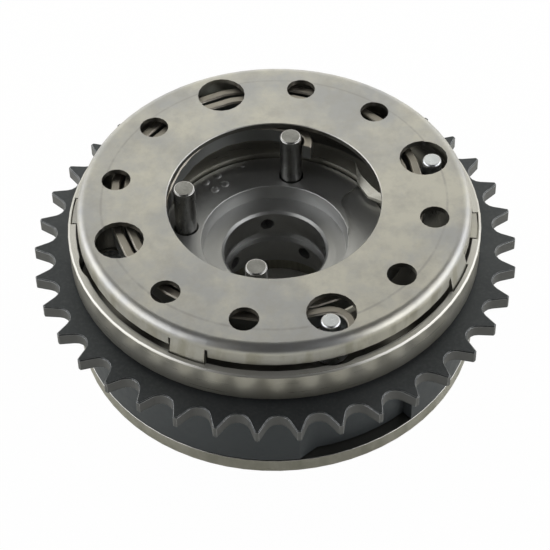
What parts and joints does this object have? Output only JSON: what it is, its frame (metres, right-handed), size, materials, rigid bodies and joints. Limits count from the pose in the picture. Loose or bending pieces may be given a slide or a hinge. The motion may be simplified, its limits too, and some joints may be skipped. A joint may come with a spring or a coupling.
{
  "type": "cam phaser",
  "caption": "Variable valve timing cam phaser: chain sprocket on a vane housing, with a sprung rotor, lock pin and pierced spring cover.",
  "frame": {"origin": "on the turning axis, in the plane of the rear face, at the middle of the underside of the bounding box", "axes": "+Z along the turning axis from the rear plate towards the spring cover; -Y towards the viewer of the picture, +X to its right"},
  "size_m": [0.1002, 0.1, 0.0366],
  "materials": {
    "pressed_steel": "satin pressed sheet",
    "turned_steel": "fine turned, satin",
    "dark_steel": "dark sintered and steam treated, satin",
    "plate_steel": "ground, satin",
    "rotor_steel": "ground sintered steel, satin",
    "pin_steel": "ground bright",
    "spring_steel": "drawn, oiled",
    "seal_plastic": "moulded, matt"
  },
  "bodies": {
    "stator": {"sprocket_housing": "dark_steel", "front_plate": "turned_steel", "rear_plate": "plate_steel", "spring_cover": "pressed_steel", "return_spring": "spring_steel", "post_bolt_anchor": "pin_steel", "post_bolt_guide": "pin_steel", "post_bolt_back": "pin_steel", "post_bolt_left": "pin_steel", "lock_seat": "pin_steel"},
    "rotor": {"vane_rotor": "rotor_steel", "rotor_pin_1": "pin_steel", "rotor_pin_2": "pin_steel", "rotor_pin_3": "pin_steel", "lock_spring": "spring_steel", "lock_bush": "pin_steel", "vane_seal_1": "seal_plastic", "seal_spring_1": "spring_steel", "vane_seal_2": "seal_plastic", "seal_spring_2": "spring_steel", "vane_seal_3": "seal_plastic", "seal_spring_3": "spring_steel", "vane_seal_4": "seal_plastic", "seal_spring_4": "spring_steel"},
    "lock_pin": {"lock_pin": "pin_steel"}
  },
  "joints": [
    {"name": "rotor_turn", "type": "hinge", "parent": "stator", "child": "rotor", "pos_m": [0, 0, 0.0136], "axis": [0, 0, 1], "range_deg": [-32, 0], "stiffness_Nm_per_rad": 0.5, "springref_deg": 57.3, "deforming": ["return_spring"]},
    {"name": "lock_pin_slide", "type": "slide", "parent": "rotor", "child": "lock_pin", "axis": [0, 0, 1], "range_m": [0, 0.0009], "stiffness_N_per_m": 1000, "springref_m": -0.006, "deforming": ["lock_spring"]}
  ]
}
